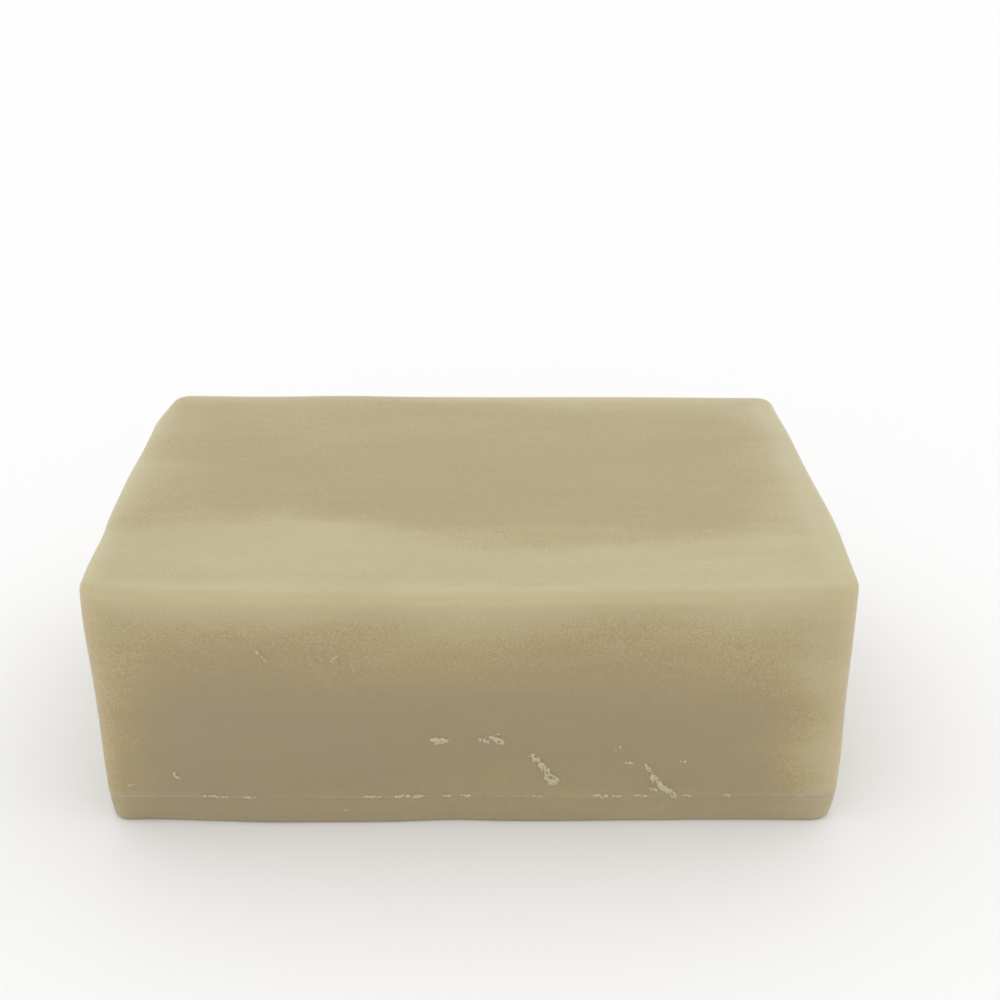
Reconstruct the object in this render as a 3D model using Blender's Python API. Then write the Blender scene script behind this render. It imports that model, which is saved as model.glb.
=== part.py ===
"""A detailing clay bar: a chunky block of waxy clay, for lifting grit off car paint.

The bar is two slabs pressed together, with a bond line just above the foot, and crumbs of
dried clay stuck to its front face and along the bond line. Its long side runs along X, its
front faces -Y and it stands on Z = 0. Sizes are in metres.
"""

import math

import bmesh
import bpy
from mathutils import Matrix, Vector, noise
from mathutils.bvhtree import BVHTree

# Driving dimensions of the whole bar
BAR_LENGTH = 0.080
BAR_DEPTH = 0.0535
BAR_HEIGHT = 0.0295

# The bond line: the lower slab stops here, and the upper slab starts a hair above it
SEAM_HEIGHT = 0.0038
SEAM_GAP = 0.0003

# Softened edges
CORNER_RADIUS = 0.0022
RIM_RADIUS = 0.0013
SEAM_LIP_RADIUS = 0.0002
FOOT_RADIUS = 0.0007
CORNER_SEGMENTS = 4
RIM_SEGMENTS = 3
LIP_SEGMENTS = 1

# How hand pressing has shaped the block
LEFT_LEAN = 0.0006
RIGHT_LEAN = 0.0002
FRONT_LEAN = 0.0002
FOOT_TURN = 0.0006
FRONT_BOW = 0.0007
FRONT_SAG = 0.0005
BACK_CORNER_PRESS = 0.0011
BACK_CORNER_REACH = 0.010

# Slices that give the pressing something to move
SLICES_ALONG = 12
SLICES_DEEP = 8
SLICES_HIGH = 5
SLICES_IN_FOOT = 2

# Crumbs of dried clay stand this proud and keep this gap to the face behind them
CRUMB_THICKNESS = 0.0004
CRUMB_GAP = 0.0003
CRUMB_LUMPINESS = 0.12
CRUMB_LUMP_SIZE = 0.6

# Flakes on the front face: (centre along X, height above the foot, length, width, tilt in degrees)
FACE_FLAKES = (
    (-0.0034, 0.0110, 0.0022, 0.0010, -5),
    (0.0021, 0.0111, 0.0029, 0.0014, -10),
    (0.0078, 0.0072, 0.0054, 0.0012, -52),
    (0.0204, 0.0057, 0.0058, 0.0012, -52),
    (0.0168, 0.0081, 0.0010, 0.0005, -15),
    (0.0227, 0.0082, 0.0013, 0.0005, 5),
    (-0.0315, 0.0065, 0.0011, 0.0007, -45),
    (0.0156, 0.0099, 0.0008, 0.0005, 20),
    (-0.0362, 0.0052, 0.0013, 0.0005, 10),
)

# Crumbs squeezed out along the bond line: (centre along X, length, width)
SEAM_CRUMBS = (
    (-0.0275, 0.0027, 0.0006),
    (-0.0239, 0.0014, 0.0005),
    (-0.0108, 0.0020, 0.0005),
    (-0.0068, 0.0033, 0.0008),
    (-0.0026, 0.0011, 0.0005),
    (-0.0007, 0.0013, 0.0005),
    (0.0071, 0.0011, 0.0005),
    (0.0138, 0.0018, 0.0008),
    (0.0157, 0.0012, 0.0006),
    (0.0182, 0.0016, 0.0006),
    (0.0234, 0.0010, 0.0005),
    (0.0275, 0.0010, 0.0005),
    (0.0355, 0.0007, 0.0005),
)


def clear_scene():
    for old in list(bpy.data.objects):
        bpy.data.objects.remove(old)


def plain_material(name, color, roughness):
    """A Principled material of one colour."""
    material = bpy.data.materials.new(name)
    material.use_nodes = True
    shader = material.node_tree.nodes["Principled BSDF"]
    shader.inputs["Base Color"].default_value = (*color, 1.0)
    shader.inputs["Roughness"].default_value = roughness
    shader.inputs["Metallic"].default_value = 0.0
    return material


def soft_clay():
    """Khaki clay with a waxy half-gloss."""
    return plain_material("soft_clay", (0.45, 0.38, 0.23), 0.42)


def dry_clay():
    """Paler, chalky clay that has dried out."""
    return plain_material("dry_clay", (0.58, 0.51, 0.33), 0.85)


def add_object(name, bm, material):
    """Turns a bmesh into a named object with one material, shaded smooth."""
    bmesh.ops.recalc_face_normals(bm, faces=bm.faces[:])
    mesh = bpy.data.meshes.new(name)
    bm.to_mesh(mesh)
    bm.free()
    mesh.shade_smooth()
    mesh.set_sharp_from_angle(angle=math.radians(35))
    mesh.materials.append(material)
    made = bpy.data.objects.new(name, mesh)
    bpy.context.scene.collection.objects.link(made)
    return made


def ease(value):
    """A smooth step from 0 to 1."""
    held = min(max(value, 0.0), 1.0)
    return held * held * (3.0 - 2.0 * held)


def pressed(point):
    """Where hand pressing moves a point of the plain block."""
    x, y, z = point
    across = 2.0 * x / BAR_LENGTH
    inward = 2.0 * y / BAR_DEPTH
    rise = z / BAR_HEIGHT
    frontness = ease(0.5 - y / BAR_DEPTH)
    # The sides lean in towards the foot, and below the bond line they turn under
    turn = FOOT_TURN * (1.0 - min(z / SEAM_HEIGHT, 1.0)) ** 2
    end_lean = LEFT_LEAN if x < 0.0 else RIGHT_LEAN
    along = across * (end_lean * (1.0 - rise) + turn)
    deep = inward * (FRONT_LEAN * (1.0 - rise) + turn)
    # The front face bows forward at mid length, and the top sags behind it
    bow = FRONT_BOW * across * across * frontness * rise
    sag = FRONT_SAG * (1.0 - across * across) * frontness * ease((rise - 0.3) / 0.7)
    # The far left corner is pressed in
    far = ease((y - BAR_DEPTH / 2.0 + BACK_CORNER_REACH) / BACK_CORNER_REACH)
    corner = BACK_CORNER_PRESS * far * ease(-across * 2.0 - 1.0) * rise
    return Vector((x - along + corner, y - deep + bow, z - sag))


def edges_at_height(bm, height):
    """The edges that lie around the block's outline at this height."""
    tiny = SEAM_GAP / 10.0
    return [
        edge
        for edge in bm.edges
        if all(abs(vert.co.z - height) < tiny for vert in edge.verts)
    ]


def upright_edges(bm):
    return [
        edge
        for edge in bm.edges
        if abs(edge.verts[0].co.z - edge.verts[1].co.z) > SEAM_GAP
    ]


def round_edges(bm, edges, radius, segments):
    bmesh.ops.bevel(
        bm,
        geom=edges,
        offset=radius,
        offset_type="OFFSET",
        segments=segments,
        profile=0.5,
        affect="EDGES",
        clamp_overlap=True,
        material=-1,
    )


def slice_evenly(bm, axis, low, high, count):
    """Cuts the block into equal slices along one axis, and keeps them all."""
    normal = Vector((0.0, 0.0, 0.0))
    normal[axis] = 1.0
    for index in range(1, count):
        cut = normal * (low + (high - low) * index / count)
        bmesh.ops.bisect_plane(
            bm,
            geom=bm.verts[:] + bm.edges[:] + bm.faces[:],
            dist=1e-6,
            plane_co=cut,
            plane_no=normal,
        )


def slab(bottom, top, bottom_radius, bottom_segments, top_radius, top_segments, slices_high):
    """A block with softened edges between two heights, shaped by pressing."""
    bm = bmesh.new()
    bmesh.ops.create_cube(bm, size=1.0)
    size = Matrix.Diagonal((BAR_LENGTH, BAR_DEPTH, top - bottom, 1.0))
    place = Matrix.Translation((0.0, 0.0, (bottom + top) / 2.0))
    bmesh.ops.transform(bm, matrix=place @ size, verts=bm.verts[:])
    round_edges(bm, upright_edges(bm), CORNER_RADIUS, CORNER_SEGMENTS)
    round_edges(bm, edges_at_height(bm, top), top_radius, top_segments)
    round_edges(bm, edges_at_height(bm, bottom), bottom_radius, bottom_segments)
    slice_evenly(bm, 0, -BAR_LENGTH / 2.0, BAR_LENGTH / 2.0, SLICES_ALONG)
    slice_evenly(bm, 1, -BAR_DEPTH / 2.0, BAR_DEPTH / 2.0, SLICES_DEEP)
    slice_evenly(bm, 2, bottom, top, slices_high)
    for vert in bm.verts:
        vert.co = pressed(vert.co)
    return bm


def base_slab():
    """The thin lower slab, which the bar stands on."""
    return slab(
        bottom=0.0,
        top=SEAM_HEIGHT - SEAM_GAP,
        bottom_radius=FOOT_RADIUS,
        bottom_segments=RIM_SEGMENTS,
        top_radius=SEAM_LIP_RADIUS,
        top_segments=LIP_SEGMENTS,
        slices_high=SLICES_IN_FOOT,
    )


def main_slab():
    """The thick upper slab, nearly the whole bar."""
    return slab(
        bottom=SEAM_HEIGHT,
        top=BAR_HEIGHT,
        bottom_radius=SEAM_LIP_RADIUS,
        bottom_segments=LIP_SEGMENTS,
        top_radius=RIM_RADIUS,
        top_segments=RIM_SEGMENTS,
        slices_high=SLICES_HIGH,
    )


def front_of(surfaces, x, z):
    """The Y of the bar's front face at this place. The bond line's gap counts as far behind."""
    start = Vector((x, -BAR_DEPTH, z))
    hits = [surface.ray_cast(start, Vector((0.0, 1.0, 0.0)))[0] for surface in surfaces]
    return min((hit.y for hit in hits if hit is not None), default=BAR_DEPTH)


def crumb(surfaces, x, z, length, width, tilt):
    """A lumpy flake of dried clay that lies just in front of the front face."""
    bm = bmesh.new()
    bmesh.ops.create_icosphere(bm, subdivisions=2, radius=1.0)
    for vert in bm.verts:
        lump = noise.noise(vert.co / CRUMB_LUMP_SIZE + Vector((x, z, length)) / CRUMB_THICKNESS)
        vert.co *= 1.0 + CRUMB_LUMPINESS * lump
    size = Matrix.Diagonal((length / 2.0, CRUMB_THICKNESS / 2.0, width / 2.0, 1.0))
    turn = Matrix.Rotation(math.radians(-tilt), 4, "Y")
    bmesh.ops.transform(bm, matrix=turn @ size, verts=bm.verts[:])
    nearest = min(front_of(surfaces, x + vert.co.x, z + vert.co.z) - vert.co.y for vert in bm.verts)
    bmesh.ops.translate(bm, vec=(x, nearest - CRUMB_GAP, z), verts=bm.verts[:])
    return bm


def stand_on_origin(objects):
    """Moves the whole bar so that the origin is under the middle of its box."""
    corners = [vert.co for piece in objects for vert in piece.data.vertices]
    low = Vector([min(corner[axis] for corner in corners) for axis in range(3)])
    high = Vector([max(corner[axis] for corner in corners) for axis in range(3)])
    shift = Vector((-(low.x + high.x) / 2.0, -(low.y + high.y) / 2.0, -low.z))
    for piece in objects:
        piece.data.transform(Matrix.Translation(shift))


def build():
    clear_scene()
    clay = soft_clay()
    dried = dry_clay()
    blocks = {"base_slab": base_slab(), "main_slab": main_slab()}
    surfaces = [BVHTree.FromBMesh(bm) for bm in blocks.values()]
    pieces = [add_object(name, bm, clay) for name, bm in blocks.items()]
    for number, (x, z, length, width, tilt) in enumerate(FACE_FLAKES, start=1):
        flake = crumb(surfaces, x, z, length, width, tilt)
        pieces.append(add_object(f"face_flake_{number}", flake, dried))
    for number, (x, length, width) in enumerate(SEAM_CRUMBS, start=1):
        bead = crumb(surfaces, x, SEAM_HEIGHT, length, width, 0)
        pieces.append(add_object(f"seam_crumb_{number:02d}", bead, dried))
    stand_on_origin(pieces)


build()
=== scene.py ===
# %% [markdown]
# # A detailing clay bar
# A clay bar is a lump of fine, waxy putty that lifts grit off car paint. This one is a chunky
# hand-sized block, pressed from two slabs, so a straight seam runs along it just above the foot,
# and crumbs of dried clay stick to its front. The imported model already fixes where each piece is
# and how big it is. This script only makes the surfaces that are seen.

import math
import random

import bmesh
import bpy
from mathutils import Matrix, Vector, noise
from mathutils.bvhtree import BVHTree


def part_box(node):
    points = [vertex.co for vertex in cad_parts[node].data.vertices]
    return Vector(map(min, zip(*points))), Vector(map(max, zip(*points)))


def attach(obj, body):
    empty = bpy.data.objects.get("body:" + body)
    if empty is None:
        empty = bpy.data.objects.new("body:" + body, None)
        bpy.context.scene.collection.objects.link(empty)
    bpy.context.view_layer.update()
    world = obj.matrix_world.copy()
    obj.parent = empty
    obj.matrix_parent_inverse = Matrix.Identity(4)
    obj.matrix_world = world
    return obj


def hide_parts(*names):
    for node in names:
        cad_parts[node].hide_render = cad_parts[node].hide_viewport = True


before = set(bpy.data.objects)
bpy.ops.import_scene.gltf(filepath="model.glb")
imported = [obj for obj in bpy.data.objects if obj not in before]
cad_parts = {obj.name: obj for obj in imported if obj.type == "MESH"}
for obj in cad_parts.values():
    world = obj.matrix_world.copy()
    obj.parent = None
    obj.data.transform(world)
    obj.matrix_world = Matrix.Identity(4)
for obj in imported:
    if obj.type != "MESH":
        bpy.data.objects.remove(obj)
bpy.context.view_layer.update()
print("nodes in the model:", len(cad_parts))

# %% [markdown]
# ## Sizes
# All sizes are in metres, so a millimetre gets a name. The bar's own length, depth and height could
# come from the box of the whole model, but the crumbs in front of it would make it seem deeper. So
# they are read from its two slabs.

# %% Measure the bar
MM = 0.001
main_low, main_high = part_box("main_slab")
base_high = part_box("base_slab")[1]
LENGTH = main_high.x - main_low.x
DEPTH = main_high.y - main_low.y
HEIGHT = main_high.z
SEAM = (main_low.z + base_high.z) / 2
MIDDLE = Vector(((main_low.x + main_high.x) / 2, (main_low.y + main_high.y) / 2, 0))
print(f"bar: {LENGTH / MM:.1f} x {DEPTH / MM:.1f} x {HEIGHT / MM:.1f} mm, seam at {SEAM / MM:.1f} mm")

# %% [markdown]
# ## The camera
# The camera looks down on the long front from a hand's length away. It could be aimed by a
# constraint, but three plain turns are easier to read. It comes before the clay, because what it
# sees decides where fine detail matters.

# %% Set the camera
EYE = Vector((-0.28, -162.8, 102.65)) * MM
PITCH_DOWN = 24.994
TURN_RIGHT = 1.270
ROLL = 0.520
LENS = 55.23
FILM_WIDTH = 36
NEAREST_SEEN = 1 * MM
camera_data = bpy.data.cameras.new("bench_camera")
camera_data.lens = LENS
camera_data.sensor_width = FILM_WIDTH
camera_data.clip_start = NEAREST_SEEN
camera = bpy.data.objects.new("bench_camera", camera_data)
aim = Matrix.Rotation(math.radians(-TURN_RIGHT), 4, "Z")
tip = Matrix.Rotation(math.radians(90 - PITCH_DOWN), 4, "X")
lean = Matrix.Rotation(math.radians(ROLL), 4, "Z")
camera.matrix_world = Matrix.Translation(EYE) @ aim @ tip @ lean
bpy.context.scene.collection.objects.link(camera)
bpy.context.scene.camera = camera
print("camera", [round(value / MM, 1) for value in EYE], "mm")

# %% [markdown]
# ## How clay takes its shape
# A block of clay starts as a true box with softened edges, and hands do the rest: the sides lean
# in, the front bows out, the top sags towards the front and every face keeps long, shallow waves.
# It could be sculpted by hand, or by displacement in the material. Here functions say where
# pressing moves a point, so both slabs bend as one and the shape is real geometry from any side.
# Each takes a point of the true block, with the foot's middle at the origin.

# %% Smooth steps and waves
def ease(value):
    """A smooth step from 0 to 1."""
    held = min(max(value, 0), 1)
    return held * held * (3 - 2 * held)


def ease_past(value, start):
    """0 up to start, and eases up to 1 where value is 1."""
    return ease((value - start) / (1 - start))


def bell(distance, reach):
    return math.exp(-((distance / reach) ** 2))


def wave(point, size, seed):
    """Smooth noise from about -1 to 1. size is a wave's length along each axis, in millimetres."""
    x, y, z = (point[axis] / (size[axis] * MM) for axis in range(3))
    return noise.noise(Vector((x, y, z + seed)))


print("half way up a smooth step:", ease(0.5))

# %% The ends
LEFT_LEAN = 0.65 * MM
RIGHT_LEAN = 0.15 * MM
LEFT_TURN = 0.15 * MM
RIGHT_TURN = 0.45 * MM
CORNER_PRESS = 1.1 * MM
CORNER_REACH = 10 * MM
CORNER_FROM = 0.5
BELLY = 0.2 * MM
BELLY_HEIGHT = 7 * MM
BELLY_REACH = 4 * MM
END_WAVE = 0.22 * MM
END_WAVE_SIZE = (60, 13, 11)
END_SEED = 20


def turned_under(z):
    """1 at the foot's lowest line, and 0 from the seam up."""
    return (1 - min(z / SEAM, 1)) ** 2


def shift_along(start):
    """The ends lean in and turn under, the far left corner is pressed in, the right end bulges."""
    x, y, z = start
    across = 2 * x / LENGTH
    rise = z / HEIGHT
    end_lean, turn = (LEFT_LEAN, LEFT_TURN) if x < 0 else (RIGHT_LEAN, RIGHT_TURN)
    shift = -across * (end_lean * (1 - rise) + turn * turned_under(z))
    far = ease((y - DEPTH / 2 + CORNER_REACH) / CORNER_REACH)
    shift += CORNER_PRESS * far * ease_past(-across, CORNER_FROM) * rise
    shift += BELLY * max(across, 0) * bell(z - BELLY_HEIGHT, BELLY_REACH)
    return shift + END_WAVE * wave(start, END_WAVE_SIZE, END_SEED) * abs(across) ** 3


left_foot = Vector((-LENGTH / 2, 0, 0))
print(f"the left end's foot moves in by {shift_along(left_foot) / MM:.2f} mm")

# %% The front and the back
FRONT_LEAN = 0.15 * MM
FOOT_TURN = 0.35 * MM
FRONT_BOW = 0.7 * MM
FRONT_CROWN = 0.55 * MM
CROWN_REACH = 8 * MM
FRONT_FROM = 0.8
FACE_WAVE = 0.16 * MM
FACE_WAVE_SIZE = (24, 60, 7)
FACE_SEED = 40
DRAG_LINE = 0.022 * MM
FACE_DRAG_SIZE = (16, 60, 0.9)
FACE_DRAG_SEED = 60


def on_front_share(y):
    """1 on the front face, and 0 from a tenth of the depth behind it."""
    return ease_past(-2 * y / DEPTH, FRONT_FROM)


def shift_deep(start):
    """The faces lean in, and the front bows out in the middle and rolls back at its top."""
    x, y, z = start
    across = 2 * x / LENGTH
    inward = 2 * y / DEPTH
    rise = z / HEIGHT
    shift = -inward * (FRONT_LEAN * (1 - rise) + FOOT_TURN * turned_under(z))
    shift += FRONT_BOW * across**2 * ease(0.5 - y / DEPTH) * rise
    shift += FRONT_CROWN * max(1 - (HEIGHT - z) / CROWN_REACH, 0) ** 2 * on_front_share(y)
    shift += FACE_WAVE * wave(start, FACE_WAVE_SIZE, FACE_SEED) * abs(inward) ** 3
    return shift + DRAG_LINE * wave(start, FACE_DRAG_SIZE, FACE_DRAG_SEED) * abs(inward) ** 9


front_rim = Vector((0, -DEPTH / 2, HEIGHT))
print(f"the front's rim rolls back by {shift_deep(front_rim) / MM:.2f} mm")

# %% The top
FRONT_SAG = 0.45 * MM
SAG_FROM = 0.3
SHOULDER_DROP = 0.8 * MM
SHOULDER_REACH = 13 * MM
ARRIS_DROP = 0.2 * MM
ARRIS_REACH = 3.5 * MM
TOP_FROM = 0.75
TOP_WAVE = 0.22 * MM
TOP_WAVE_SIZE = (26, 9, 40)
TOP_SEED = 0
TOP_DRAG_SIZE = (22, 1.3, 60)
TOP_DRAG_SEED = 80


def shift_up(start):
    """The top sags and rolls down towards the front."""
    x, y, z = start
    across = 2 * x / LENGTH
    rise = z / HEIGHT
    behind_edge = y + DEPTH / 2
    sag = FRONT_SAG * (1 - across**2) * ease(0.5 - y / DEPTH) * ease_past(rise, SAG_FROM)
    shoulder = SHOULDER_DROP * max(1 - behind_edge / SHOULDER_REACH, 0) ** 2
    arris = ARRIS_DROP * max(1 - behind_edge / ARRIS_REACH, 0) ** 2
    waves = TOP_WAVE * wave(start, TOP_WAVE_SIZE, TOP_SEED)
    drags = DRAG_LINE * wave(start, TOP_DRAG_SIZE, TOP_DRAG_SEED)
    return (waves + drags - shoulder - arris) * ease_past(rise, TOP_FROM) - sag


print(f"the front edge drops by {-shift_up(front_rim) / MM:.2f} mm at mid length")

# %% The lips of the seam
LIP_SWELL = 0.10 * MM
LIP_REACH = 1.0 * MM
LIP_SET_BACK = 0.06 * MM
LIP_WAVE_SIZE = (9, 60, 60)
LIP_SEED = 90


def shift_lips(start):
    """On the front, the upper lip swells forward, and the foot strip stands back by turns."""
    if start.z >= SEAM:
        shift = -LIP_SWELL * bell(start.z - SEAM, LIP_REACH)
    else:
        shift = LIP_SET_BACK * (1 + wave(start, LIP_WAVE_SIZE, LIP_SEED))
    return shift * on_front_share(start.y)


upper_lip = Vector((0, -DEPTH / 2, SEAM))
print(f"the upper lip stands {-shift_lips(upper_lip) / MM:.2f} mm proud")

# %% [markdown]
# ## Single presses
# A thumb or a palm leaves one shallow dent or bulge, which no even rule would make. Each could be
# pulled with a sculpting brush. A short list does the same and can be read: where on the bar it
# is, how far it reaches, and where it pushes, all in millimetres.

# %% Presses by a thumb or a palm
PRESSES = (
    ((-40, 0, 27), 9, (-0.38, 0, 0)),
    ((-40, -24, 26), 7, (-0.24, 0, 0)),
    ((-40, -15, 28), 4, (0.2, 0, 0)),
    ((40, -8, 28), 9, (0.42, 0, 0)),
    ((40, 23, 28), 8, (-0.32, 0, 0)),
    ((-17, 27, 29), 8, (0, 0, 0.22)),
    ((-30, -27, 0), 6, (0, 0.3, 0)),
    ((-37, -27, 0), 5, (0, 0.5, 0)),
    ((-2, -27, 0), 5, (0, 0.35, 0)),
)


def push_at(start, middle, reach, push):
    """How far one press moves this point."""
    return Vector(push) * MM * bell((start / MM - Vector(middle)).length, reach)


def pressed(start):
    """Where all the pressing moves a point of the true block, in the model's own place."""
    moved = Vector((shift_along(start), shift_deep(start) + shift_lips(start), shift_up(start)))
    for press in PRESSES:
        moved += push_at(start, *press)
    return MIDDLE + start + moved


print("single presses:", len(PRESSES))

# %% [markdown]
# ## A block with softened edges
# The block is a cube scaled to size. Bevel rounds its four upright edges and then its rims, each
# with its own radius. Last, it is sliced into small cells, because pressing can only move corners
# that exist. A remesh would make even cells too, but it would blur the crisp rim.

# %% Soften the edges
LIP_RADIUS = 0.07 * MM
SAME_HEIGHT = LIP_RADIUS / 20


def soften(bm, edges, radius, segments):
    bmesh.ops.bevel(bm, geom=edges, offset=radius, offset_type="OFFSET", segments=segments,
                    profile=0.5, affect="EDGES", clamp_overlap=True, material=-1)


def upright(bm):
    return [edge for edge in bm.edges if abs(edge.verts[0].co.z - edge.verts[1].co.z) > LIP_RADIUS]


def outline_at(bm, height):
    return [edge for edge in bm.edges
            if all(abs(vert.co.z - height) < SAME_HEIGHT for vert in edge.verts)]


print(f"edges within {SAME_HEIGHT / MM:.4f} mm of a height count as its outline")

# %% Slice into cells
CELL = 0.55 * MM
SAME_PLACE = 0.001 * MM


def slice_block(bm, axis, low, high):
    """Cuts the whole block into cells along one axis."""
    count = round((high - low) / CELL)
    normal = Vector((0, 0, 0))
    normal[axis] = 1
    for step in range(1, count):
        place = normal * (low + (high - low) * step / count)
        bmesh.ops.bisect_plane(bm, geom=bm.verts[:] + bm.edges[:] + bm.faces[:], dist=SAME_PLACE,
                               plane_co=place, plane_no=normal)


print("cells along the bar:", round(LENGTH / CELL))

# %% The whole block
CORNER_RADIUS = 2.2 * MM
CORNER_SEGMENTS = 8
HIGH_SEGMENTS = 6
LOW_SEGMENTS = 4


def clay_block(low, high, low_radius, high_radius):
    """A true block between two heights, with softened edges and cells all over."""
    bm = bmesh.new()
    bmesh.ops.create_cube(bm, size=1)
    size = Matrix.Diagonal((LENGTH, DEPTH, high - low, 1))
    place = Matrix.Translation((0, 0, (low + high) / 2))
    bmesh.ops.transform(bm, matrix=place @ size, verts=bm.verts[:])
    soften(bm, upright(bm), CORNER_RADIUS, CORNER_SEGMENTS)
    soften(bm, outline_at(bm, high), high_radius, HIGH_SEGMENTS)
    soften(bm, outline_at(bm, low), low_radius, LOW_SEGMENTS)
    slice_block(bm, 0, -LENGTH / 2, LENGTH / 2)
    slice_block(bm, 1, -DEPTH / 2, DEPTH / 2)
    slice_block(bm, 2, low, high)
    return bm


print(f"corners are rounded to {CORNER_RADIUS / MM:.1f} mm")

# %% [markdown]
# ## Finishing a piece
# Every piece ends the same way: its mesh becomes an object at the origin, is shaded smooth, rides
# on the bar's only body, takes its material and replaces the plain node that it stands for, if there
# is one. The steps could be repeated for each piece, but in one function none can be missed.

# %% Finish a piece
def finish_piece(name, bm, material, nodes):
    """Makes a bmesh a smooth object, and hides the nodes it stands for."""
    mesh = bpy.data.meshes.new(name)
    bm.to_mesh(mesh)
    bm.free()
    mesh.shade_smooth()
    mesh.materials.append(material)
    piece = bpy.data.objects.new(name, mesh)
    bpy.context.scene.collection.objects.link(piece)
    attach(piece, "root")
    if nodes:
        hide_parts(*nodes)
    print(name, "has", len(mesh.polygons), "faces")
    return piece


# %% [markdown]
# ## Working with nodes
# A material is a chain of small nodes, and most of this clay's nodes are plain arithmetic on where
# a point lies. They could be placed by hand in the shader editor. A few helpers do it here, so
# that a chain reads like a sum.

# %% Sums in nodes
def linked(tree, socket, value):
    """Sets a socket to a value, or joins it to another node's output."""
    if isinstance(value, bpy.types.NodeSocket):
        tree.links.new(value, socket)
    else:
        socket.default_value = value


def calc(tree, operation, *values):
    """A Math node, given its operation and its values."""
    node = tree.nodes.new("ShaderNodeMath")
    node.operation = operation
    for socket, value in zip(node.inputs, values):
        linked(tree, socket, value)
    return node.outputs["Value"]


def node_bell(tree, distance, reach):
    """The bell function above, as nodes."""
    share = calc(tree, "DIVIDE", distance, reach)
    return calc(tree, "EXPONENT", calc(tree, "MULTIPLY", calc(tree, "MULTIPLY", share, share), -1))


def fall(tree, value, start, end, top):
    """Stays at top until start, then eases down to 0 at end."""
    node = tree.nodes.new("ShaderNodeMapRange")
    node.interpolation_type = "SMOOTHSTEP"
    for name, given in (("Value", value), ("From Min", start), ("From Max", end),
                        ("To Min", top), ("To Max", 0)):
        linked(tree, node.inputs[name], given)
    return node.outputs["Result"]


print("materials before the clay:", len(bpy.data.materials))

# %% Clouds in nodes
def cloud(tree, vector, size, detail, turn=0):
    """Soft noise from 0 to 1. size is the length of a patch along each axis."""
    spread = tree.nodes.new("ShaderNodeMapping")
    spread.inputs["Scale"].default_value = [1 / length for length in size]
    spread.inputs["Rotation"].default_value = (0, math.radians(turn), math.radians(turn))
    tree.links.new(vector, spread.inputs["Vector"])
    node = tree.nodes.new("ShaderNodeTexNoise")
    node.inputs["Scale"].default_value = 1
    node.inputs["Detail"].default_value = detail
    tree.links.new(spread.outputs["Vector"], node.inputs["Vector"])
    return node.outputs["Fac"]


def centred_cloud(tree, vector, size, detail, turn=0):
    """Soft noise from -0.5 to 0.5."""
    return calc(tree, "SUBTRACT", cloud(tree, vector, size, detail, turn), 0.5)


print("node groups before the grain:", len(bpy.data.node_groups))

# %% Colours in nodes
def colour_between(tree, value, stops):
    """A colour ramp through (place, colour) stops."""
    node = tree.nodes.new("ShaderNodeValToRGB")
    elements = node.color_ramp.elements
    while len(elements) < len(stops):
        elements.new(1)
    for element, (place, colour) in zip(elements, stops):
        element.position = place
        element.color = colour
    tree.links.new(value, node.inputs["Fac"])
    return node.outputs["Color"]


def mixed(tree, share, first, second):
    """A mix of two colours. A share of 1 gives the second one."""
    node = tree.nodes.new("ShaderNodeMix")
    node.data_type = "RGBA"
    linked(tree, node.inputs["Factor"], share)
    first_socket, second_socket = [socket for socket in node.inputs if socket.type == "RGBA"]
    linked(tree, first_socket, first)
    linked(tree, second_socket, second)
    return next(socket for socket in node.outputs if socket.type == "RGBA")


print("colours are linear red, green, blue and opacity")

# %% [markdown]
# ## Grain
# The putty carries a fine polishing powder, and it was dragged through a mould, so it has a fine
# grain and long faint streaks. Both its soft skin and its dry crumbs have them. An image of sand
# would do, but noise has no seams and no end. A node group holds the grain once, and each clay
# sets how strong it is.

# %% The grain group
POWDER_SIZE = (0.18, 0.17, 0.17)
STREAK_SIZE = (9, 1.3, 0.9)
STREAK_TURN = 2


def grain_group():
    """Place comes in as millimetres. Shade is centred on 0, and Height is for a Bump node."""
    tree = bpy.data.node_groups.new("clay_grain", "ShaderNodeTree")
    tree.interface.new_socket("Place", in_out="INPUT", socket_type="NodeSocketVector")
    for name in ("Powder", "Streaks"):
        tree.interface.new_socket(name, in_out="INPUT", socket_type="NodeSocketFloat")
    for name in ("Shade", "Height"):
        tree.interface.new_socket(name, in_out="OUTPUT", socket_type="NodeSocketFloat")
    given = tree.nodes.new("NodeGroupInput").outputs
    result = tree.nodes.new("NodeGroupOutput")
    powder = centred_cloud(tree, given["Place"], POWDER_SIZE, 2)
    streaks = centred_cloud(tree, given["Place"], STREAK_SIZE, 3, STREAK_TURN)
    powder = calc(tree, "MULTIPLY", powder, given["Powder"])
    streaks = calc(tree, "MULTIPLY", streaks, given["Streaks"])
    shade = calc(tree, "ADD", powder, streaks)
    linked(tree, result.inputs["Shade"], shade)
    linked(tree, result.inputs["Height"], shade)
    return tree


clay_grain = grain_group()
print("grain group sockets:", len(clay_grain.interface.items_tree))

# %% Place the grain
def place_on_bar(tree, finer=1):
    """Object coordinates in millimetres from the middle of the bar's foot, or in finer steps."""
    spot = tree.nodes.new("ShaderNodeTexCoord")
    centred = tree.nodes.new("ShaderNodeMapping")
    centred.inputs["Scale"].default_value = [finer / MM] * 3
    centred.inputs["Location"].default_value = -MIDDLE * finer / MM
    tree.links.new(spot.outputs["Object"], centred.inputs["Vector"])
    return centred.outputs["Vector"]


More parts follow.
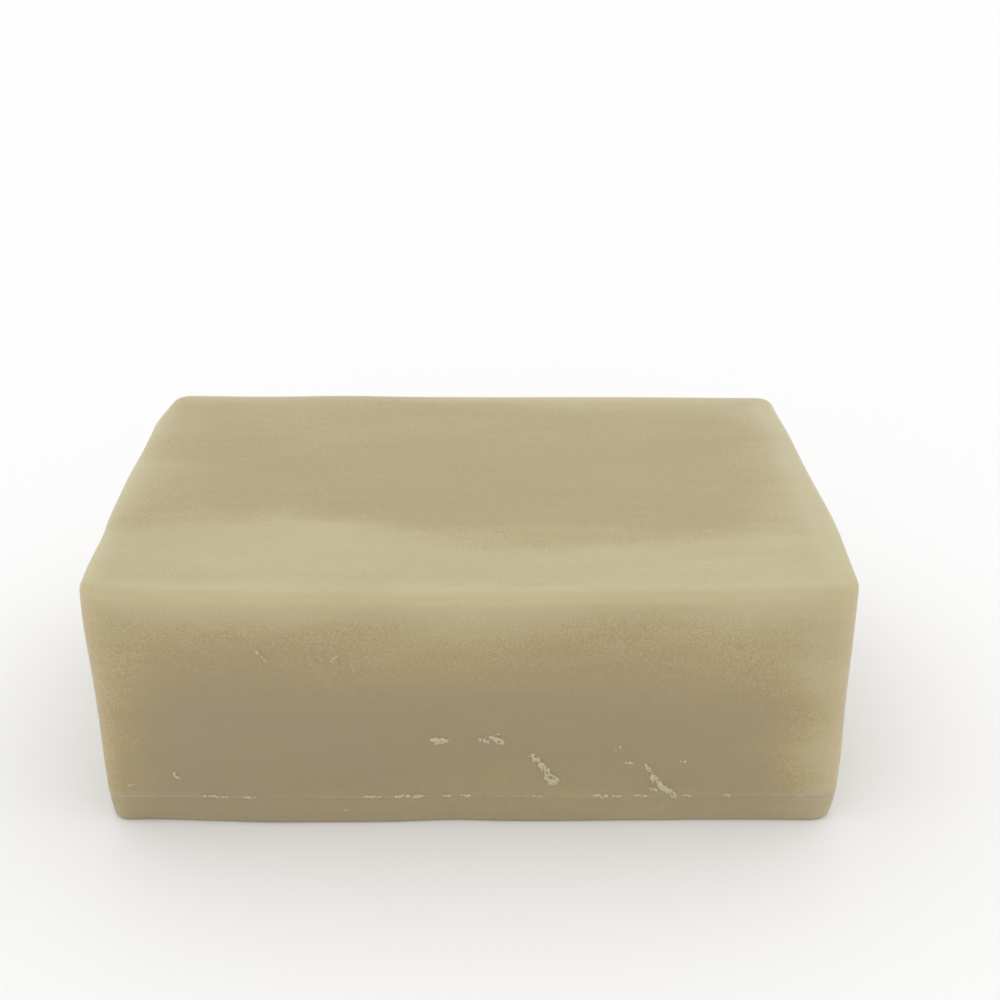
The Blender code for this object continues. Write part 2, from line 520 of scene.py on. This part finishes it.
def grain_on(tree, place, powder, streaks):
    """The grain group with its own strengths: its Shade and its Height."""
    node = tree.nodes.new("ShaderNodeGroup")
    node.node_tree = clay_grain
    linked(tree, node.inputs["Place"], place)
    linked(tree, node.inputs["Powder"], powder)
    linked(tree, node.inputs["Streaks"], streaks)
    return node.outputs["Shade"], node.outputs["Height"]


print("a grain of powder is about", POWDER_SIZE[0], "mm long")

# %% [markdown]
# ## How pale the clay is
# The putty is a slightly see-through wax. Light goes a little way in and comes out again, so the
# bar looks pale along its edges, where there is little clay behind the skin, and deep in the
# middle of a face. Lit from above, the top and the upper faces look paler, and a band along the
# top's front shows a sheen. Scattering alone could show some of this, but an exported model can't
# scatter light. So this light and sheen are painted into the colour as a paleness, worked out from
# how far a point lies from the bar's edges: 0 is the deepest clay and 1 the palest, and all
# distances are in millimetres.

# %% Distances on the bar
RIGHT_NEARER = 0.6


def distances(tree, place):
    """How far a point lies from each side of the bar. The right end counts as a little nearer."""
    parts = tree.nodes.new("ShaderNodeSeparateXYZ")
    tree.links.new(place, parts.inputs["Vector"])
    x, y, z = parts.outputs
    sideways = calc(tree, "ABSOLUTE", calc(tree, "ADD", x, RIGHT_NEARER))
    return {
        "x": x,
        "above_foot": z,
        "below_top": calc(tree, "SUBTRACT", HEIGHT / MM, z),
        "behind_front": calc(tree, "ADD", y, DEPTH / 2 / MM),
        "from_end": calc(tree, "SUBTRACT", LENGTH / 2 / MM, sideways),
        "from_side": calc(tree, "SUBTRACT", DEPTH / 2 / MM, calc(tree, "ABSOLUTE", y)),
    }


print("the middle of the front is", round(HEIGHT / 2 / MM, 1), "mm below the top")

# %% Pale edges: painted light that comes out through the thin clay
EDGE_PAINTED_GLOW = 0.72
EDGE_PAINTED_GLOW_ON_TOP = 0.38
EDGE_REACH = 6
EDGE_WANDER = 8
FOOT_DEEPER = 4.5
RIM_PAINTED_LIGHT = 0.24
RIM_FADE = (1.5, 8.5)
RIM_DEPTH = (1, 4)


# Painted light: the edges are paler where light that went into the wax comes out again near the skin.
def painted_edge_glow(tree, at, top_share, patches):
    """On a face one distance is 0, so the second smallest of the three is how far an edge lies."""
    from_rim = calc(tree, "MINIMUM", at["below_top"], calc(tree, "ADD", at["above_foot"], FOOT_DEEPER))
    nearer = calc(tree, "MINIMUM", at["from_end"], at["from_side"])
    farther = calc(tree, "MAXIMUM", at["from_end"], at["from_side"])
    from_edge = calc(tree, "MAXIMUM", nearer, calc(tree, "MINIMUM", farther, from_rim))
    from_edge = calc(tree, "MULTIPLY_ADD", patches, -EDGE_WANDER, from_edge)
    change = EDGE_PAINTED_GLOW_ON_TOP - EDGE_PAINTED_GLOW
    strength = calc(tree, "MULTIPLY_ADD", top_share, change, EDGE_PAINTED_GLOW)
    glow = node_bell(tree, calc(tree, "MAXIMUM", from_edge, 0), EDGE_REACH)
    return calc(tree, "MULTIPLY", glow, strength)


def painted_rim_light(tree, at):
    """The upright faces are palest just below the rim: painted light from above."""
    nearer = calc(tree, "MINIMUM", at["from_end"], at["from_side"])
    rim = fall(tree, at["below_top"], *RIM_FADE, RIM_PAINTED_LIGHT)
    return calc(tree, "MULTIPLY", rim, fall(tree, nearer, *RIM_DEPTH, 1))


print("the edges' glow reaches about", EDGE_REACH, "mm in")

# %% The painted sheen: a pale band along the front of the top
PAINTED_SHEEN_PALENESS = 0.47
BAND_WIDTH = 14
BAND_SOFTNESS = 3.4
BAND_TAPER = 0.059
BAND_DEPTH = 3
BAND_RAGGEDNESS = 14
BAND_WANDER = 2.2
WANDER_LENGTH = 65
WANDER_START = 44


def painted_sheen_band(tree, at, patches):
    """A painted sheen: a band that narrows to the right, with a border that wanders in a long wave."""
    along = calc(tree, "ADD", at["x"], WANDER_START)
    sine = calc(tree, "SINE", calc(tree, "MULTIPLY", along, 2 * math.pi / WANDER_LENGTH))
    border = calc(tree, "MULTIPLY_ADD", sine, -BAND_WANDER, at["behind_front"])
    border = calc(tree, "MULTIPLY_ADD", at["x"], BAND_TAPER, border)
    border = calc(tree, "MULTIPLY_ADD", patches, -BAND_RAGGEDNESS, border)
    start, end = BAND_WIDTH - BAND_SOFTNESS, BAND_WIDTH + BAND_SOFTNESS
    band = fall(tree, border, start, end, PAINTED_SHEEN_PALENESS)
    return calc(tree, "MULTIPLY", band, fall(tree, at["below_top"], 0, BAND_DEPTH, 1))


print("the band is about", BAND_WIDTH, "mm wide")

# %% The scuffed lips of the seam, partly a painted highlight
LIP_SPREAD = 0.7
LIP_SCUFF_AND_HIGHLIGHT = 0.16
LIP_GLOW = 0.04
LIP_END_GLOW = 0.16
LIP_END_FADE = (3, 13)
SCUFF_AND_HIGHLIGHT_SIZE = (7, 9, 40)
SCUFF_AND_HIGHLIGHT_FADE = (0.62, 0.4)


def lip_scuff_and_highlight(tree, place, at):
    """Pale along the seam, more in some places and near the ends: partly powder scuffed onto the lips,
    partly a painted highlight where the lip catches the light.
    """
    from_seam = calc(tree, "SUBTRACT", at["above_foot"], SEAM / MM)
    scuff_and_highlight_spots = fall(tree, cloud(tree, place, SCUFF_AND_HIGHLIGHT_SIZE, 3), *SCUFF_AND_HIGHLIGHT_FADE, 1)
    near_ends = fall(tree, at["from_end"], *LIP_END_FADE, LIP_END_GLOW)
    least = calc(tree, "ADD", near_ends, LIP_GLOW)
    strength = calc(tree, "MULTIPLY_ADD", scuff_and_highlight_spots, LIP_SCUFF_AND_HIGHLIGHT, least)
    return calc(tree, "MULTIPLY", node_bell(tree, from_seam, LIP_SPREAD), strength)


print(f"the seam runs {SEAM / MM:.2f} mm above the foot")

# %% All the paleness, most of it painted light
PATCH_SIZE = (22, 9, 7)
PATCH_TURN = 6
PATCH_STRENGTH = 0.42
TOP_PAINTED_LIGHT = 0.37
TOP_FADE = (7, 17)
SLOPE_ALONG = 0.003
SLOPE_ON_TOP = 0.0012


def paleness(tree, place, at):
    """The sum of the painted glows, sheen and top light, with soft patches all over and a slope along
    the bar.
    """
    patches = centred_cloud(tree, place, PATCH_SIZE, 4, PATCH_TURN)
    top_share = fall(tree, at["below_top"], *TOP_FADE, 1)
    edges = painted_edge_glow(tree, at, top_share, patches)
    edges_or_band = calc(tree, "MAXIMUM", edges, painted_sheen_band(tree, at, patches))
    # Painted light: the top and the upper parts of the faces are paler, because light falls from
    # above.
    total = calc(tree, "MULTIPLY_ADD", top_share, TOP_PAINTED_LIGHT, edges_or_band)
    total = calc(tree, "ADD", total, painted_rim_light(tree, at))
    total = calc(tree, "ADD", total, lip_scuff_and_highlight(tree, place, at))
    slope = calc(tree, "MULTIPLY_ADD", top_share, SLOPE_ON_TOP - SLOPE_ALONG, SLOPE_ALONG)
    total = calc(tree, "MULTIPLY_ADD", at["x"], slope, total)
    return calc(tree, "MULTIPLY_ADD", patches, PATCH_STRENGTH, total)


print("the top is paler than the foot by", TOP_PAINTED_LIGHT)

# %% [markdown]
# ## Soft clay
# The skin is khaki, half glossy and faintly see-through. It could be one flat colour with a plastic
# shine, but then it would look like moulded plastic. So the paleness, which is mostly painted light
# and painted sheen, picks a colour between deep, plain and pale clay, greener on the top where the
# sheen is painted, scattering under the skin softens it, and grain and smears break up the shine.
# The grain is strongest where the clay is half pale, because there the powder lies open.

# %% The colour of soft clay
DEEP_CLAY = (0.361, 0.291, 0.175, 1)
PLAIN_CLAY = (0.420, 0.330, 0.173, 1)
PALE_CLAY = (0.537, 0.459, 0.286, 1)
# The top's colours are greener than the sides', most of all at the pale end: they paint the white
# sheen on the top.
PLAIN_TOP_CLAY = (0.412, 0.330, 0.163, 1)
PALE_TOP_CLAY_WITH_SHEEN = (0.512, 0.459, 0.284, 1)
PLAIN_PALENESS = 0.4
TOP_CLAY_FADE = (1.4, 2.4)
DUSTY_CLAY = (0.385, 0.315, 0.2, 1)
DUST_SHARE = 0.5
DUST_FADE = (3.4, 5)


def soft_colour(tree, pale, at):
    """The sides, then the greener top with its painted sheen, then the dust on the strip below the
    seam.
    """
    sides = ((0, DEEP_CLAY), (PLAIN_PALENESS, PLAIN_CLAY), (1, PALE_CLAY))
    top = ((0, DEEP_CLAY), (PLAIN_PALENESS, PLAIN_TOP_CLAY), (1, PALE_TOP_CLAY_WITH_SHEEN))
    on_top = fall(tree, at["below_top"], *TOP_CLAY_FADE, 1)
    colour = mixed(tree, on_top, colour_between(tree, pale, sides), colour_between(tree, pale, top))
    dust = fall(tree, at["above_foot"], *DUST_FADE, DUST_SHARE)
    return mixed(tree, dust, colour, DUSTY_CLAY)


print("plain clay", PLAIN_CLAY[:3])

# %% A new clay and its roughness
BUMP_HEIGHT = 0.04 * MM


def new_clay(name):
    """A new material, its tree and its shader."""
    material = bpy.data.materials.new(name)
    material.use_nodes = True
    return material, material.node_tree, material.node_tree.nodes["Principled BSDF"]


def roughen(tree, shader, height):
    """Raises the skin's grain with a Bump node."""
    bump = tree.nodes.new("ShaderNodeBump")
    bump.inputs["Distance"].default_value = BUMP_HEIGHT
    tree.links.new(height, bump.inputs["Height"])
    tree.links.new(bump.outputs["Normal"], shader.inputs["Normal"])


print(f"the grain stands {BUMP_HEIGHT / MM:.2f} mm high")

# %% Make the soft clay
LIGHT_REACH = (1.0, 0.85, 0.6)
LIGHT_DEPTH = 2 * MM
SANDY_AT = 0.45
SANDY_FADE = (0.05, 0.5)
SANDY_POWDER = 1.0
LEAST_POWDER = 0.55
SKIN_STREAKS = 0.22
SMEAR_SIZE = (14, 5, 3)
ROUGHNESS_LEAST = 0.3
ROUGHNESS_SPREAD = 0.22


def make_soft_clay():
    material, tree, shader = new_clay("waxy_clay")
    shader.inputs["Subsurface Weight"].default_value = 1
    shader.inputs["Subsurface Radius"].default_value = LIGHT_REACH
    shader.inputs["Subsurface Scale"].default_value = LIGHT_DEPTH
    place = place_on_bar(tree)
    at = distances(tree, place)
    even_pale = paleness(tree, place, at)
    from_half_pale = calc(tree, "ABSOLUTE", calc(tree, "SUBTRACT", even_pale, SANDY_AT))
    sandy = fall(tree, from_half_pale, *SANDY_FADE, SANDY_POWDER)
    powder = calc(tree, "ADD", sandy, LEAST_POWDER)
    shade, height = grain_on(tree, place, powder, SKIN_STREAKS)
    pale = calc(tree, "ADD", even_pale, shade)
    tree.links.new(soft_colour(tree, pale, at), shader.inputs["Base Color"])
    smears = cloud(tree, place, SMEAR_SIZE, 3)
    roughness = calc(tree, "MULTIPLY_ADD", smears, ROUGHNESS_SPREAD, ROUGHNESS_LEAST)
    tree.links.new(roughness, shader.inputs["Roughness"])
    roughen(tree, shader, height)
    return material


soft_clay = make_soft_clay()
print("soft clay has", len(soft_clay.node_tree.nodes), "nodes")

# %% [markdown]
# ## The two slabs
# The thick slab is nearly the whole bar, and the thin one is its foot. They could be one block with
# a groove, but the real seam is a hairline between two lumps, so each slab is a closed block of
# its own, a hair apart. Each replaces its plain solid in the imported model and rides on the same
# body.

# %% Make the slabs
RIM_RADIUS = 1.2 * MM
FOOT_RADIUS = 0.5 * MM
SKIN_GAP = 0.02 * MM


def make_slab(name, low, high, low_radius, high_radius):
    block = clay_block(low, high, low_radius, high_radius)
    for vert in block.verts:
        vert.co = pressed(vert.co)
    return finish_piece(name + "_clay", block, soft_clay, [name])


main_clay = make_slab("main_slab", SEAM + SKIN_GAP / 2, HEIGHT, LIP_RADIUS, RIM_RADIUS)
base_clay = make_slab("base_slab", 0, SEAM - SKIN_GAP / 2, FOOT_RADIUS, LIP_RADIUS)

# %% [markdown]
# ## Dry clay
# Clay that rubs off dries, turns pale and chalky, and sticks back on the bar. It lets no light in,
# so it needs no scattering. It could have a noise of its own, but it takes the same grain group as
# the soft clay, in finer steps and a little stronger, which ties the two clays together.

# %% Make the dry clay
DRY_CLAY_DARK = (0.42, 0.35, 0.21, 1)
DRY_CLAY_PALE = (0.66, 0.59, 0.38, 1)
DRY_ROUGHNESS = 0.85
DRY_FINER = 1.8
DRY_POWDER = 1.6
DRY_STREAKS = 0.3


def make_dry_clay():
    material, tree, shader = new_clay("chalky_clay")
    shader.inputs["Roughness"].default_value = DRY_ROUGHNESS
    shade, height = grain_on(tree, place_on_bar(tree, DRY_FINER), DRY_POWDER, DRY_STREAKS)
    stops = ((0.2, DRY_CLAY_DARK), (0.8, DRY_CLAY_PALE))
    pale = calc(tree, "ADD", shade, 0.5)
    tree.links.new(colour_between(tree, pale, stops), shader.inputs["Base Color"])
    roughen(tree, shader, height)
    return material


dry_clay = make_dry_clay()
print("dry clay has", len(dry_clay.node_tree.nodes), "nodes")

# %% [markdown]
# ## Crumbs
# A crumb could be one lumpy ball, but a real one is a heap of tiny grains with a broken outline. So
# grains are strewn along a few short strokes, half sunk in the skin, and a voxel remesh melts them
# into closed shapes. To sit on the pressed skin, each grain first asks a ray where the skin is.

# %% Find the skin
INTO_FRONT = Vector((0, 1, 0))
INTO_TOP = Vector((0, 0, -1))
CREASE = 0.2 * MM


def skin_of(slab):
    corners = [vert.co for vert in slab.data.vertices]
    return BVHTree.FromPolygons(corners, [face.vertices for face in slab.data.polygons])


skins = [skin_of(main_clay), skin_of(base_clay)]


def skin_at(place, into):
    """The skin's point that a pin meets when it is pushed in here. It can't slip into the seam."""
    start = place - into * 2 * DEPTH
    hits = []
    for slip in (-CREASE, 0, CREASE):
        for skin in skins:
            hit = skin.ray_cast(start + Vector((0, 0, slip)), into)[0]
            if hit is not None:
                hits.append((hit - start).dot(into))
    return start + into * min(hits)


front_middle = skin_at(Vector((0, 0, HEIGHT / 2)), INTO_FRONT)
print(f"the front's middle lies at y = {front_middle.y / MM:.2f} mm")

# %% Strew grains
GRAIN_SIZES = (0.08 * MM, 0.17 * MM)
GRAIN_SPACING = 0.14 * MM
GRAIN_FLATNESS = 0.5
LEAST_GRAINS = 4
DEEPEST_SUNK = 0.3
MOST_TURN = 3


def strew(bm, draw, start, end, width, into):
    """Strews grains over a stroke between two points. width is the stroke's full width."""
    along = end - start
    across = along.cross(into).normalized()
    count = max(LEAST_GRAINS, round(along.length * width / GRAIN_SPACING**2))
    for _ in range(count):
        share = draw.random()
        half = width / 2 * math.sqrt(max(1 - abs(2 * share - 1) ** 3, 0))
        place = start + along * share + across * half * draw.uniform(-1, 1)
        radius = draw.uniform(*GRAIN_SIZES)
        sunk = skin_at(place, into) + into * radius * draw.uniform(0, DEEPEST_SUNK)
        flat = Matrix.Scale(GRAIN_FLATNESS, 4, into)
        turn = Matrix.Rotation(draw.uniform(0, MOST_TURN), 4, into)
        bmesh.ops.create_icosphere(bm, subdivisions=1, radius=radius,
                                   matrix=Matrix.Translation(sunk) @ flat @ turn)


print(f"grains are {2 * GRAIN_SIZES[0] / MM:.2f} to {2 * GRAIN_SIZES[1] / MM:.2f} mm across")

# %% Melt them into a crumb
VOXEL = 0.045 * MM


def melt_together(bm, name):
    """Melts overlapping grains into one closed skin with a voxel remesh."""
    mesh = bpy.data.meshes.new(name + "_grains")
    bm.to_mesh(mesh)
    heap = bpy.data.objects.new(name + "_grains", mesh)
    bpy.context.scene.collection.objects.link(heap)
    remesh = heap.modifiers.new("melt", "REMESH")
    remesh.mode = "VOXEL"
    remesh.voxel_size = VOXEL
    bpy.context.view_layer.update()
    melted = heap.evaluated_get(bpy.context.evaluated_depsgraph_get())
    bm.clear()
    bm.from_mesh(melted.data)
    bpy.data.objects.remove(heap)


def make_crumb(name, strokes, into, nodes, seed):
    """strokes are (start, end, width) near the skin, in metres."""
    draw = random.Random(seed)
    bm = bmesh.new()
    for start, end, width in strokes:
        strew(bm, draw, start, end, width, into)
    melt_together(bm, name)
    return finish_piece(name, bm, dry_clay, nodes)


print(f"crumbs melt together in steps of {VOXEL / MM:.3f} mm")

# %% [markdown]
# ## Flakes on the front face
# Nine flakes stick to the lower front: two flat ones a third of the way up, two long slanting
# streaks and five specks. A scatter at random would put them anywhere, so each keeps to its own
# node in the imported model. Its strokes are given as fractions of that node's box, across and up, and
# their width as a fraction of its height.

# %% Make the flakes
FLAKE_STROKES = {
    1: (((0.05, 0.6), (0.95, 0.5), 0.6), ((0.25, 0.2), (0.8, 0.15), 0.35)),
    2: (((0.2, 0.6), (0.8, 1.0), 0.12), ((0.0, 0.55), (0.42, 0.3), 0.35),
        ((0.45, 0.75), (0.98, 0.15), 0.42), ((0.6, 0.5), (0.9, 0.45), 0.3)),
    3: (((0.04, 0.97), (0.3, 0.76), 0.18), ((0.33, 0.7), (0.62, 0.38), 0.22),
        ((0.52, 0.32), (0.95, 0.1), 0.24), ((0.6, 0.08), (0.85, 0.04), 0.12)),
    4: (((0.02, 0.98), (0.26, 0.62), 0.1), ((0.2, 0.66), (0.52, 0.36), 0.17),
        ((0.12, 0.3), (0.42, 0.22), 0.08), ((0.45, 0.38), (0.98, 0.03), 0.16)),
    5: (((0.05, 0.7), (0.95, 0.3), 0.6),),
    6: (((0.0, 0.3), (0.8, 0.5), 0.5),),
    7: (((0.2, 0.95), (0.35, 0.3), 0.35), ((0.3, 0.25), (0.95, 0.1), 0.3)),
    8: (((0.0, 0.3), (0.3, 0.3), 0.4), ((0.65, 0.9), (0.9, 0.55), 0.3)),
    9: (((0.0, 0.4), (1.0, 0.6), 0.3),),
}


def strokes_in(node, strokes):
    """Turns strokes in fractions of a node's box into places on the front."""
    low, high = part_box(node)
    span = high - low
    return [
        (low + Vector((start[0] * span.x, 0, start[1] * span.z)),
         low + Vector((end[0] * span.x, 0, end[1] * span.z)),
         width * span.z)
        for start, end, width in strokes
    ]


for number, strokes in FLAKE_STROKES.items():
    node = f"face_flake_{number}"
    make_crumb(node + "_clay", strokes_in(node, strokes), INTO_FRONT, [node], seed=number)

# %% [markdown]
# ## Crumbs along the seam
# Pressing the slabs together squeezed a little clay out of the seam, and it dried there in short
# beads. They could be one long ragged bead, but the seam is bare between them, so each keeps to
# its own node. The same two strokes are fitted to each node's box, and each has its own seed.

# %% Make the seam's crumbs
SEAM_STROKES = (((0.0, 0.5), (0.55, 0.6), 0.45), ((0.45, 0.4), (1.0, 0.5), 0.5))
FIRST_SEAM_SEED = 100

seam_nodes = sorted(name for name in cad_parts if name.startswith("seam_crumb"))
for seed, node in enumerate(seam_nodes, start=FIRST_SEAM_SEED):
    make_crumb(node + "_clay", strokes_in(node, SEAM_STROKES), INTO_FRONT, [node], seed)

# %% [markdown]
# ## Nicks and specks
# A few marks are too small for a node of their own: two nicks where the skin was lifted into a
# sliver, a speck on the foot strip and single specks on the top. Paint would do from afar, but a
# lifted sliver catches the light, so they are made as crumbs too. Places are in millimetres.

# %% Nicks and a speck on the front
NICKS = (((-22.2, 21.9), (-21.1, 20.5)), ((-13.9, 21.3), (-14.7, 20.5)))
NICK_WIDTH = 0.08 * MM
NICK_LAYERS = 3
STRIP_SPECK = ((-13.7, 1.9), (-13.4, 1.9))
SPECK_WIDTH = 0.2 * MM
NICK_SEED = 200


def on_front(x, z):
    return Vector((x * MM, -DEPTH / 2, z * MM))


nicks = [(on_front(*start), on_front(*end), NICK_WIDTH) for start, end in NICKS] * NICK_LAYERS
speck_start, speck_end = STRIP_SPECK
nicks.append((on_front(*speck_start), on_front(*speck_end), SPECK_WIDTH))
make_crumb("front_nicks", nicks, INTO_FRONT, [], NICK_SEED)

# %% Specks on the top
# Each is where it starts along and across the top, and its length
TOP_SPECKS = ((-27.6, 5.8, 0.9), (-1.7, 18.3, 0.35), (13.1, -9.4, 0.3), (-30.7, -1.1, 0.3))
SPECK_SEED = 201


def on_top(x, y):
    return Vector((x * MM, y * MM, HEIGHT))


specks = [(on_top(x, y), on_top(x + length, y), SPECK_WIDTH) for x, y, length in TOP_SPECKS]
make_crumb("top_specks", specks, INTO_TOP, [], SPECK_SEED)

# %% [markdown]
# ## The floor
# The bar lies on a plain white sheet, so that nothing tints the clay. A curved backdrop would hide
# the sheet's far edge, but it works from one side only. A flat sheet works from every side, and this
# one is so wide that its edge is a distant horizon.

# %% Make the floor
FLOOR_HALF_WIDTH = 10
FLOOR_WHITE = (0.9, 0.9, 0.9, 1)
FLOOR_ROUGHNESS = 0.9

floor_bm = bmesh.new()
bmesh.ops.create_grid(floor_bm, x_segments=1, y_segments=1, size=FLOOR_HALF_WIDTH)
floor_mesh = bpy.data.meshes.new("floor")
floor_bm.to_mesh(floor_mesh)
floor_bm.free()
floor = bpy.data.objects.new("floor", floor_mesh)
bpy.context.scene.collection.objects.link(floor)
floor_material = bpy.data.materials.new("floor_white")
floor_material.use_nodes = True
floor_shader = floor_material.node_tree.nodes["Principled BSDF"]
floor_shader.inputs["Base Color"].default_value = FLOOR_WHITE
floor_shader.inputs["Roughness"].default_value = FLOOR_ROUGHNESS
floor_mesh.materials.append(floor_material)
print("floor:", 2 * FLOOR_HALF_WIDTH, "m wide")

# %% [markdown]
# ## The light tent
# Small wares are often shown in a tent of white cloth, which lights them evenly from all round and
# leaves no hard shadow or glare on a waxy skin. Strong lamps would burn out the bar's rolled front
# edge. So nearly all the light comes from an even white world, and two large weak softboxes lift
# the top and the front a little.

# %% Light the bar
TENT_STRENGTH = 0.786


def softbox(name, place, target, width, height, power):
    """A rectangular soft light that faces its target. Sizes are in metres and power in watts."""
    data = bpy.data.lights.new(name, "AREA")
    data.shape = "RECTANGLE"
    data.size = width
    data.size_y = height
    data.energy = power
    lamp = bpy.data.objects.new(name, data)
    lamp.location = place
    lamp.rotation_euler = (Vector(target) - Vector(place)).to_track_quat("-Z", "Y").to_euler()
    bpy.context.scene.collection.objects.link(lamp)


softbox("canopy", place=(0, 0.8, 1.5), target=(0, 0.8, 0), width=3.6, height=3.2, power=18)
softbox("front", place=(-0.2, -1.3, 0.55), target=(0, 0, 0.01), width=1.6, height=1.0, power=2.5)
world = bpy.data.worlds.new("light_tent")
world.use_nodes = True
background = world.node_tree.nodes["Background"]
background.inputs["Color"].default_value = (1, 1, 1, 1)
background.inputs["Strength"].default_value = TENT_STRENGTH
bpy.context.scene.world = world
bpy.context.scene.view_settings.view_transform = "Standard"
print("softboxes:", len(bpy.data.lights))
